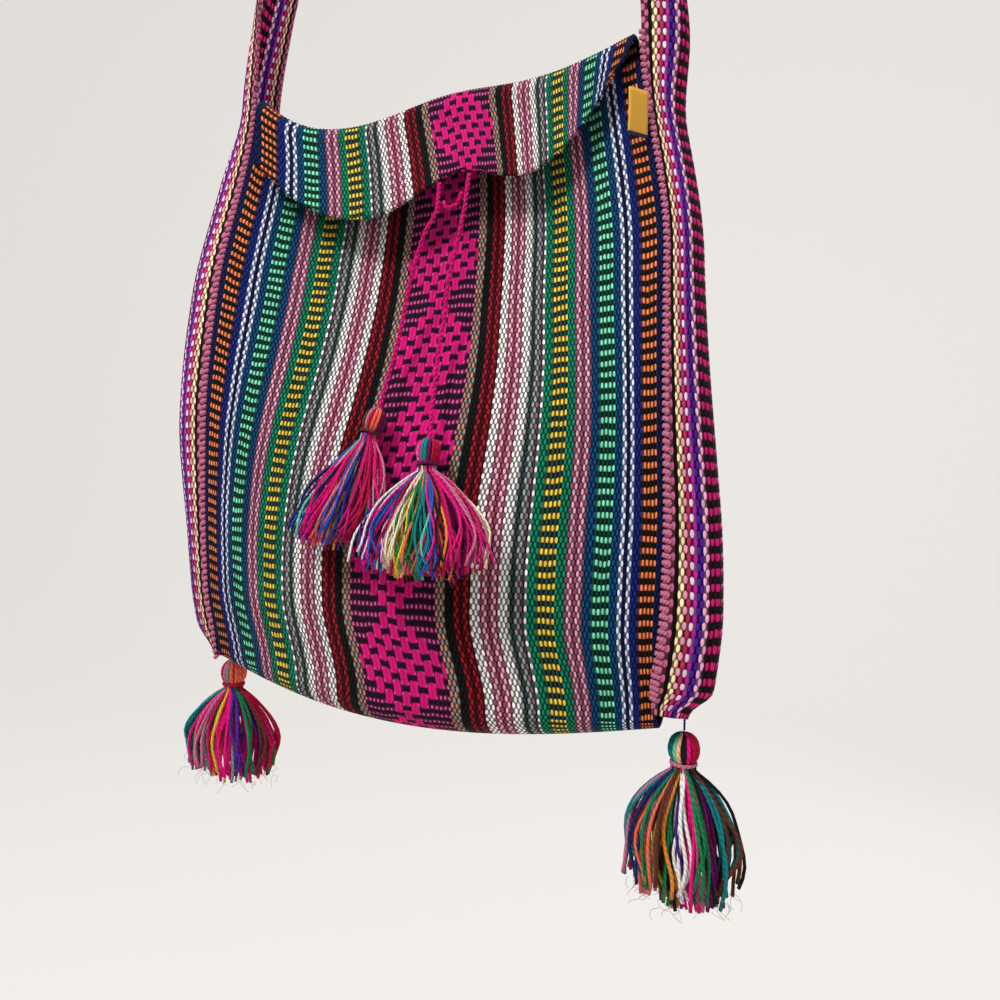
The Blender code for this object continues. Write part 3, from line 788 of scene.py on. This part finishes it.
# Tie cord. Its places are relative to the middle between the mouth's corners, and its ends lie in the tassels.
tie = {"radius": 0.0012, "pitch": 0.0062, "colours": ("magenta", "hotPink"), "hemU": {-1: -0.068, 1: 0.095},
       "linkDip": 0.0045, "clearance": 0.0004, "clothThickness": 0.0020, "spacing": 0.0009}
tieRoutes = {
    -1: [(0.0062, -0.0195, -0.0830), (0.0016, -0.0220, -0.0935), (-0.0017, -0.0220, -0.1030),
         (-0.0064, -0.0225, -0.1200), (-0.0093, -0.0238, -0.1405), (-0.0125, -0.0275, -0.1620),
         (-0.0140, -0.0330, -0.1780), (-0.0145, -0.0365, -0.1875)],
    1: [(0.0218, -0.0195, -0.0840), (0.0187, -0.0220, -0.1050), (0.0150, -0.0225, -0.1240),
        (0.0142, -0.0235, -0.1400), (0.0130, -0.0260, -0.1550), (0.0135, -0.0325, -0.1790),
        (0.0150, -0.0385, -0.1960), (0.0165, -0.0420, -0.2035)],
}
sides = {-1: "left", 1: "right"}


def fromMouth(place):
    return Vector(place) + Vector((0.0, 0.0, -body["strapDrop"]))


def tiePoints(side):
    start = flapPoint(tie["hemU"][side], 1.0)
    start += Vector((0.0, 0.0, -tie["clothThickness"] / 2 - tie["clearance"]))
    return smoothRoute([start, *[fromMouth(place) for place in tieRoutes[side]]], 4.8 * tie["radius"])


def buildTieCord(side, material):
    # the cord runs on through the tassel's head and ends in a knot inside the skirt
    top, foot = tasselPlaces(f"tie_tassel_{sides[side]}")
    points = [*tiePoints(side), *[top.lerp(foot, share) for share in (0.1, 0.2, 0.3, 0.4)]]
    bundle = startYarns()
    addPlies(bundle, smoothRoute(points, tie["spacing"]), tie["radius"], tie["pitch"], tie["colours"])
    name = f"tie_cord_{sides[side]}"
    piece = finishYarns(f"plied_{name}", bundle, material, [name])


def buildTieLink(material):
    left, right = tiePoints(-1)[2], tiePoints(1)[2]
    reach = Vector((2 * tie["radius"] + tie["clearance"], 0.0, 0.0))
    dip = Vector((0.0, 0.0, -tie["linkDip"]))
    route = [left + reach, left.lerp(right, 0.33) + dip, left.lerp(right, 0.67) + dip, right - reach]
    bundle = startYarns()
    addPlies(bundle, smoothRoute(route, tie["spacing"]), tie["radius"], tie["pitch"], tie["colours"])
    finishYarns("plied_tie_link", bundle, material, ["tie_link"])


# Tassels. Each colour list runs from the left to the right of the skirt as the front shows it.
tassels = {
    "tie_tassel_left": {
        "head": (0.0060, 0.0140), "spread": 0.022, "depth": 0.0095, "foot": (-0.0310, -0.0585, -0.2600),
        "strand": 0.00058, "count": 170, "loop": 0.00085, "binding": "brown", "seed": 11,
        "widest": 0.95, "swell": 1.15,
        "headColours": "brown coral rose crimson coral plum",
        "colours": "navy mint blue violet hotPink magenta hotPink coral rose blue violet yellow brown magenta "
                   "crimson mint hotPink crimson rose"},
    "tie_tassel_right": {
        "head": (0.0060, 0.0145), "spread": 0.030, "depth": 0.0095, "foot": (0.0220, -0.0660, -0.2720),
        "strand": 0.00058, "count": 210, "loop": 0.00085, "binding": "plum", "seed": 12,
        "widest": 1.0, "swell": 1.30,
        "headColours": "rose hotPink mint teal teal plum rose crimson",
        "colours": "mint white violet navy hotPink blue coral crimson lightPink cream yellow peach green green "
                   "coral teal mint blue hotPink crimson black orange magenta plum hotPink magenta crimson rose "
                   "cream"},
    "corner_tassel_left": {
        "head": (0.0075, 0.0145), "spread": 0.033, "depth": 0.0185, "length": 0.073,
        "strand": 0.00085, "count": 140, "loop": 0.00105, "binding": "crimson", "seed": 13,
        "widest": 0.72, "swell": 1.0,
        "headColours": "crimson rose grey coral",
        "colours": "grey teal green hotPink grey rose hotPink crimson yellow hotPink magenta grey hotPink violet "
                   "hotPink magenta green brown crimson"},
    "corner_tassel_right": {
        "head": (0.0075, 0.0145), "spread": 0.028, "depth": 0.0185, "length": 0.083,
        "strand": 0.00092, "count": 140, "loop": 0.00110, "binding": "rose", "seed": 14,
        "widest": 0.66, "swell": 1.0,
        "headColours": "teal mint peach grey black white hotPink hotPink crimson",
        "colours": "teal rose crimson white coral navy coral rose green brown yellow green black orange white "
                   "white violet hotPink hotPink magenta rose green plum purple black orange black teal brown "
                   "orange black"},
}
neckToHead = 0.70
# The skirt opens fast under the binding, and its outer strands end higher. Every strand sways in three waves.
skirt = {"crowding": 0.45, "mixing": 0.035, "end": 0.97, "outerEnd": 0.13, "uneven": (-0.09, 0.03), "steps": 12,
         "waveTurns": (1.2, 3.2), "waveSize": (0.0004, 0.0024), "waveSpeed": 3.0, "sway": 1.3, "swayDepth": 0.5,
         "openPower": 1.75, "closing": 0.07, "closingFrom": 0.7, "neckShare": 0.95, "neckEnd": 6,
         "dropPower": 1.12, "width": 0.97, "depth": 0.92, "thickness": (0.85, 1.1)}
stray = {"count": 90, "from": (0.7, 0.92), "out": (0.5, 1.0), "width": 0.9, "depth": 0.8, "drift": 0.006,
         "curl": 0.003, "radius": 0.00009}
# The head's loops lie in two layers: how many, and their share of the head's radius and of the loop's thickness.
head = {"layers": ((17, 1.0, 1.0), (9, 0.70, 0.9)), "unevenTurn": 0.05, "mixing": 0.06, "steps": 9,
        "angles": (0.06, 0.96), "squareness": 0.8, "top": 0.0006, "neckShare": 0.7}
winding = {"radius": 0.00055, "offset": 0.0007, "perTurn": 18, "points": 49, "start": -0.0006, "rise": 0.0013}
hanger = {"steps": 14, "radius": 0.0006, "pitch": 0.0028, "gap": 0.0006, "knotSteps": 17, "knotTurn": 0.9,
          "knotReach": 0.0011, "knotDrop": 0.00022, "knotRadius": 0.0008}


def onRing(turn, radius, z=0.0):
    return Vector((math.cos(turn) * radius, math.sin(turn) * radius, z))


def tasselPlaces(key):
    facts = tassels[key]
    side = -1 if key.endswith("left") else 1
    if key.startswith("tie"):
        top = tiePoints(side)[-1] + Vector((0.0, -0.3, -1.5)) * tie["clearance"]
        return top, fromMouth(facts["foot"])
    low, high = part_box(f"corner_tassel_{sides[side]}_hanger")
    top = Vector(((low[0] + high[0]) / 2, (low[1] + high[1]) / 2, low[2] - hanger["gap"]))
    return top, top - Vector((0.0, 0.0, facts["length"]))


# The colour at a place from -1 left to 1 right, mixed a little with those beside it.
def colourAt(colours, across, mixing, chance):
    place = clamp((across + 1.0) / 2 + chance.gauss(0.0, mixing), 0.0, 0.999)
    return colours[int(place * len(colours))]


def addSkirt(bundle, facts, chance, neck, foot, neckRadius):
    colours = facts["colours"].split()
    reachX = facts["spread"] * skirt["width"] * facts["swell"]
    reachY = facts["depth"] * skirt["depth"] - facts["strand"]
    narrow = neckRadius * skirt["neckShare"]
    for _ in range(facts["count"]):
        turn = chance.uniform(0.0, 2 * math.pi)
        out = chance.random() ** skirt["crowding"]
        wide, deep = math.cos(turn) * out, math.sin(turn) * out
        colour = colourAt(colours, wide, skirt["mixing"], chance)
        end = skirt["end"] - skirt["outerEnd"] * out * out + chance.uniform(*skirt["uneven"])
        waves = [(chance.uniform(*skirt["waveTurns"]), chance.uniform(0.0, 6.3), chance.uniform(*skirt["waveSize"]))
                 for _ in range(3)]
        path = []
        for step in range(skirt["steps"] + 1):
            t = step / skirt["steps"]
            opened = 1.0 - (1.0 - min(t / facts["widest"], 1.0)) ** skirt["openPower"]
            opened -= skirt["closing"] * ease(skirt["closingFrom"], 1.0, t)
            held = 1.0 - min(t * skirt["neckEnd"], 1.0)
            x = mix(reachX * opened, narrow, held) * wide
            y = mix(reachY * opened, narrow, held) * deep
            for number, (speed, start, size) in enumerate(waves):
                sway = math.sin(start + speed * t * skirt["waveSpeed"]) * size * t * skirt["sway"]
                x, y = (x + sway, y) if number != 1 else (x, y + sway * skirt["swayDepth"])
            path.append(neck.lerp(foot, t ** skirt["dropPower"] * end) + Vector((x, y, 0.0)))
        addYarn(bundle, path, facts["strand"] * chance.uniform(*skirt["thickness"]), colour)


def addStrays(bundle, facts, chance, neck, foot):
    for _ in range(stray["count"]):
        turn, out = chance.uniform(0.0, 2 * math.pi), chance.uniform(*stray["out"])
        start = neck.lerp(foot, chance.uniform(*stray["from"]))
        start.x += math.cos(turn) * facts["spread"] * out * stray["width"]
        start.y += math.sin(turn) * facts["depth"] * out * stray["depth"]
        drift = Vector((chance.uniform(-1, 1), chance.uniform(-0.4, 0.4), chance.uniform(-1.4, -0.3)))
        curl = Vector((chance.uniform(-1, 1), 0.0, chance.uniform(-0.4, 0.4))) * stray["curl"]
        path = [start + drift * stray["drift"] * t + curl * t * (1 - t) * 4 for t in (0.0, 0.25, 0.5, 0.75, 1.0)]
        addYarn(bundle, path, stray["radius"], chance.choice(facts["colours"].split()), 3)


# Loops of the same yarn run from the neck over the top.
def addHead(bundle, facts, chance, top, tilt):
    headRadius, headHeight = facts["head"]
    for layer, (count, share, thickness) in enumerate(head["layers"]):
        for number in range(count):
            turn = 2 * math.pi * (number + 0.5 * layer) / count
            turn += chance.uniform(-head["unevenTurn"], head["unevenTurn"])
            colour = colourAt(facts["headColours"].split(), math.cos(turn), head["mixing"], chance)
            path = []
            for step in range(head["steps"] + 1):
                along = step / head["steps"]
                angle = math.pi * mix(*head["angles"], along)
                size = (headRadius - facts["loop"]) * share * math.sin(angle) ** head["squareness"]
                size = max(size, headRadius * neckToHead * head["neckShare"] if angle > math.pi / 2 else head["top"])
                down = headHeight * (1.0 - math.cos(angle)) / 2 + facts["loop"] * (1 - along)
                path.append(top + tilt @ onRing(turn, size, -down))
            addYarn(bundle, path, facts["loop"] * thickness, colour)


def buildTassel(key, material, bindingMaterial, rider):
    facts = tassels[key]
    chance = random.Random(facts["seed"])
    top, foot = tasselPlaces(key)
    headRadius, headHeight = facts["head"]
    neckRadius = headRadius * neckToHead
    axis = (foot - top).normalized()
    neck = top + axis * headHeight
    tilt = Vector((0.0, 0.0, -1.0)).rotation_difference(axis)
    bundle = startYarns()
    addSkirt(bundle, facts, chance, neck, foot, neckRadius)
    addStrays(bundle, facts, chance, neck, foot)
    addHead(bundle, facts, chance, top, tilt)
    yarn = finishYarns(f"{key}_strands", bundle, material, [f"{key}_yarn"], rider)
    bundle = startYarns()
    path = []
    for step in range(winding["points"]):
        z = winding["start"] + winding["rise"] * step / (winding["points"] - 1)
        turn = 2 * math.pi * step / winding["perTurn"]
        path.append(neck + tilt @ onRing(turn, neckRadius + winding["offset"], z))
    addYarn(bundle, path, winding["radius"], facts["binding"])
    binding = finishYarns(f"{key}_winding", bundle, bindingMaterial, [f"{key}_binding"], rider)
    return [yarn, binding]


def buildHanger(side, material):
    name = f"corner_tassel_{sides[side]}_hanger"
    low, high = (Vector(corner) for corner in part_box(name))
    middle = (low + high) / 2
    path = [Vector((middle.x, middle.y, mix(high.z, low.z, i / hanger["steps"])))
            for i in range(hanger["steps"] + 1)]
    bundle = startYarns()
    addPlies(bundle, path, hanger["radius"], hanger["pitch"], ("navy", "navy"))
    if side > 0:
        # only the right thread has a knot, where it leaves the band
        knot = [path[0] + onRing(turn * hanger["knotTurn"], hanger["knotReach"], -hanger["knotDrop"] * turn)
                for turn in range(hanger["knotSteps"])]
        addYarn(bundle, knot, hanger["knotRadius"], "navy")
    finishYarns(f"plied_{name}", bundle, material, [name], f"{sides[side]}_thread")


# Seams: the band's edge is overcast with thick soft yarn, one stitch for each pick of the band.
stitches = {"step": 0.0034, "radius": 0.00115, "levels": (0.0, 0.985), "colour": "rose", "reach": 0.03,
            "lift": 0.0008, "ends": 0.55, "aside": 0.4, "slant": (0.0009, 0.0007), "slantTurn": 1.6}


def buildSeam(side, edge, material):
    first, last = (level * body["height"] for level in stitches["levels"])
    count = int((last - first) / stitches["step"])
    bundle = startYarns()
    for number in range(count):
        level = (first + stitches["step"] * (number + 0.5)) / body["height"]
        share = level / levelOf(bottomZ(side))
        path = []
        for turn in (0.0, 0.25, 0.5, 0.75, 1.0):
            place = sidePoint(side, share, edge * (1.0 - stitches["reach"] * turn))
            swell = stitches["lift"] * mix(math.sin(math.pi * turn), 1.0, stitches["ends"])
            outward = Vector((side * stitches["aside"], edge, 0.0)).normalized()
            slant = Vector((-side * stitches["slant"][0], 0.0, stitches["slant"][1]))
            path.append(place + outward * swell + slant * (1.0 - turn * stitches["slantTurn"]))
        addYarn(bundle, path, stitches["radius"], stitches["colour"], 7)
    name = f"{'front' if edge < 0 else 'back'}_seam_{sides[side]}"
    finishYarns(f"{name}_stitches", bundle, material, [name])


# Label: a bare folded ribbon in the right seam. A third of its rows is one flat side, a third the fold and a
# third the other flat side.
label = {"length": 0.022, "reach": 0.010, "top": 0.036, "thickness": 0.0005, "direction": (-0.72, -0.69, 0.0),
         "standOff": 0.0030, "bow": 0.0004, "flatRows": 4, "rows": 12, "around": 22.0}


def labelPlace(u, row):
    level = (label["top"] + label["length"] / 2) / body["height"]
    rootY = frontEdgeY(level) - tie["clothThickness"] / 2 - label["standOff"]
    root = Vector((centreX(level) + halfWidth(level), rootY, 0.0))
    outward = Vector(label["direction"]).normalized()
    across = Vector((outward.y, -outward.x, 0.0))
    gap, flatRows = 2 * label["thickness"], label["flatRows"]
    if row <= flatRows:
        place = outward * label["reach"] * row / flatRows - across * gap / 2
    elif row < 2 * flatRows:
        angle = math.pi * (row - flatRows) / flatRows
        place = outward * (label["reach"] + gap / 2 * math.sin(angle)) - across * gap / 2 * math.cos(angle)
    else:
        place = outward * label["reach"] * (label["rows"] - row) / flatRows + across * gap / 2
    # a soft ribbon bows a little between its ends
    z = -body["strapDrop"] - label["top"] - label["length"] / 2 + label["length"] / 2 * u
    bow = label["bow"] * math.sin(math.pi * (u + 1) / 2) * math.sin(math.pi * row / label["rows"])
    return root + place - across * bow + Vector((0.0, 0.0, z))


def buildLabel():
    # woven satin ribbon: fine cross ribs and a faint gloss, with a navy selvedge along its lower edge
    material, tree, shader = newMaterial("woven satin ribbon", Roughness=0.55, Sheen_Weight=0.1,
                                         Specular_IOR_Level=0.3)
    add = partial(put, tree)
    flat = add("UVMap", uv_map="ribbon")
    ribs = add("TexWave", flat, 0.55)
    tone = add("Math", add("TexNoise", flat, None, 1.5, 3.0), 0.35, 0.82, operation="MULTIPLY_ADD")
    face = add("VectorMath", linear("#D39A2C")[:3], None, None, tone, operation="SCALE")
    selvedge = add("Math", add("SeparateXYZ", flat), 1.1, operation="LESS_THAN")
    colour = add("MixRGB", selvedge, face, linear("#1D2450"))
    tree.links.new(colour, shader.inputs["Base Color"])
    tree.links.new(add("Bump", 0.5, 0.0002, None, ribs), shader.inputs["Normal"])
    sheet = bmesh.new()
    layer = sheet.loops.layers.uv.new("ribbon")
    bmesh.ops.create_grid(sheet, x_segments=10, y_segments=2 * label["rows"], size=0.5)
    for face in sheet.faces:
        for loop in face.loops:
            # millimetres from the lower edge and along the ribbon
            u, v = loop.vert.co.x + 0.5, loop.vert.co.y + 0.5
            loop[layer].uv = (u * label["length"] * 1000, v * label["around"])
    for vert in sheet.verts:
        vert.co = labelPlace(vert.co.x * 2, (vert.co.y + 0.5) * label["rows"])
    piece = finishSheet("bare_ribbon_label", sheet, label["thickness"], material, ["side_label"])


# Studio
view = {"turns": (19.1, 0.6, 1.5), "place": (0.169, -0.376, -0.797), "lens": 27.0, "sensor": 36.0}


def addCamera():
    # 19 degrees to the bag's right, level with the lower part of its front, and turned by 1.5 degrees
    yaw, pitch, roll = (math.radians(angle) for angle in view["turns"])
    forward = Vector((-math.sin(yaw) * math.cos(pitch), math.cos(yaw) * math.cos(pitch), math.sin(pitch)))
    right = Vector((math.cos(yaw), math.sin(yaw), 0.0))
    up = right.cross(forward)
    turnedRight = right * math.cos(roll) + up * math.sin(roll)
    turnedUp = -right * math.sin(roll) + up * math.cos(roll)
    data = bpy.data.cameras.new("camera")
    data.lens, data.sensor_width = view["lens"], view["sensor"]
    camera = bpy.data.objects.new("camera", data)
    bpy.context.scene.collection.objects.link(camera)
    axes = Matrix((turnedRight, turnedUp, -forward)).transposed()
    camera.matrix_world = Matrix.Translation(view["place"]) @ axes.to_4x4()
    bpy.context.scene.camera = camera


def addLamp(name, place, size, power):
    data = bpy.data.lights.new(name, "AREA")
    data.shape = "RECTANGLE"
    data.size = data.size_y = size
    data.energy = power
    lamp = bpy.data.objects.new(name, data)
    bpy.context.scene.collection.objects.link(lamp)
    lamp.location = place
    lamp.rotation_euler = (Vector(studio["target"]) - lamp.location).to_track_quat("-Z", "Y").to_euler()


studio = {"floorZ": -1.6, "wallY": 3.2, "sweep": 1.2, "width": 7.0, "front": -4.0, "top": 4.0,
          "paint": "#F1EEE9", "seen": "#F3F0EC", "paintLift": 0.75, "sky": "#F6F4F1", "skyPower": 0.36,
          "target": (0.0, 0.0, -0.72),
          "lamps": {"key": ((-0.9, -1.3, 1.05), 0.6, 54.0), "fill": ((1.7, -1.3, -0.5), 1.4, 10.0),
                    "top": ((0.1, -0.5, 1.2), 1.2, 16.0), "behind": ((0.8, 1.8, -0.2), 1.6, 12.0)}}


def addStudio():
    world = bpy.data.worlds.new("studio")
    bpy.context.scene.world = world
    world.use_nodes = True
    tree = world.node_tree
    background = tree.nodes["Background"]
    background.inputs["Strength"].default_value = studio["skyPower"]
    background.inputs["Color"].default_value = linear(studio["sky"])
    bright = put(tree, "Background", linear(studio["seen"]), 1.0)
    shown = put(tree, "MixShader", put(tree, "LightPath"), background.outputs[0], bright)
    tree.links.new(shown, tree.nodes["World Output"].inputs["Surface"])
    # matt wall paint, lifted for the camera so that it stays as pale as it is painted
    paint, tree, shader = newMaterial("pale matt wall paint", Roughness=0.9, Specular_IOR_Level=0.1)
    shader.inputs["Base Color"].default_value = linear(studio["paint"])
    glow = put(tree, "Emission", linear(studio["seen"]), 1.0)
    lifted = put(tree, "Math", put(tree, "LightPath"), studio["paintLift"], operation="MULTIPLY")
    shown = put(tree, "MixShader", lifted, shader.outputs[0], glow)
    tree.links.new(shown, tree.nodes["Material Output"].inputs["Surface"])
    sweep = bmesh.new()
    bmesh.ops.create_grid(sweep, x_segments=2, y_segments=40, size=0.5)
    flat = studio["wallY"] - studio["sweep"] - studio["front"]
    turned = math.pi / 2 * studio["sweep"]
    tall = studio["top"] - studio["floorZ"] - studio["sweep"]
    for vert in sweep.verts:
        gone = (vert.co.y + 0.5) * (flat + turned + tall)
        angle = clamp((gone - flat) / studio["sweep"], 0.0, math.pi / 2)
        y = studio["front"] + min(gone, flat) + studio["sweep"] * math.sin(angle)
        z = studio["floorZ"] + studio["sweep"] * (1.0 - math.cos(angle)) + max(gone - flat - turned, 0.0)
        vert.co = (vert.co.x * 2 * studio["width"], y, z)
    mesh = bpy.data.meshes.new("backdrop")
    sweep.to_mesh(mesh)
    sweep.free()
    mesh.shade_smooth()
    mesh.materials.append(paint)
    backdrop = bpy.data.objects.new("backdrop", mesh)
    bpy.context.scene.collection.objects.link(backdrop)
    for name, facts in studio["lamps"].items():
        addLamp(name, *facts)


bpy.context.scene.view_settings.view_transform = "Standard"
addCamera()
fineYarn = yarnMaterial("two-ply acrylic tassel yarn", 3.2)
cordYarn = yarnMaterial("tightly twisted acrylic cord", 2.2)
threadYarn = yarnMaterial("cotton sewing thread", 1.2)
for key in tassels:
    onTie = key.startswith("tie")
    rider = "bag" if onTie else key.replace("corner_tassel_", "") + "_tassel"
    buildTassel(key, fineYarn, cordYarn, rider)
for side, sideName in sides.items():
    buildTieCord(side, cordYarn)
    buildHanger(side, threadYarn)
buildTieLink(cordYarn)
print("cords and tassels tied")
buildCloth()
print("cloth woven")
buildBand()
print("band woven")
for side in sides:
    for edge in (-1, 1):
        buildSeam(side, edge, threadYarn)
buildLabel()
print("seams and label sewn")
addStudio()
